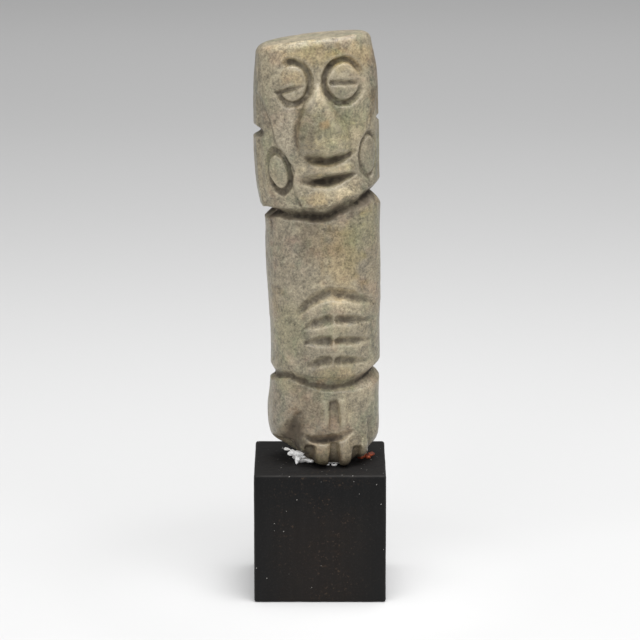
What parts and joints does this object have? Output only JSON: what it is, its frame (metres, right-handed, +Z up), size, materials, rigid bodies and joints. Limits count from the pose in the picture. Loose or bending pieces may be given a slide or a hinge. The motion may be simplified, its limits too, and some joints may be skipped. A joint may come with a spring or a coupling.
{
  "type": "carved stone figure amulet on a cube stand",
  "caption": "Small columnar stone figure with drilled ring eyes and ear spools, folded hands and toes, set upright with putty on a black-painted wooden cube.",
  "frame": {"origin": "centre of the cube stand's underside, on the surface it stands on", "axes": "+Z up along the figure's height, -Y towards the viewer of the stand's front face, +X to that viewer's right"},
  "size_m": [0.0255, 0.0254, 0.1091],
  "materials": {
    "greenstone": "soft worn polish, speckled grey-green and beige, dark earth in the cuts",
    "painted_wood": "matt black paint, worn brownish on the front, dusty at the edges",
    "white_putty": "matt, lumpy",
    "orange_wax": "waxy, crumbled"
  },
  "bodies": {
    "root": {"stand": "painted_wood", "mounting_putty": "white_putty", "wax_crumb": "orange_wax", "figure": "greenstone"}
  },
  "joints": []
}
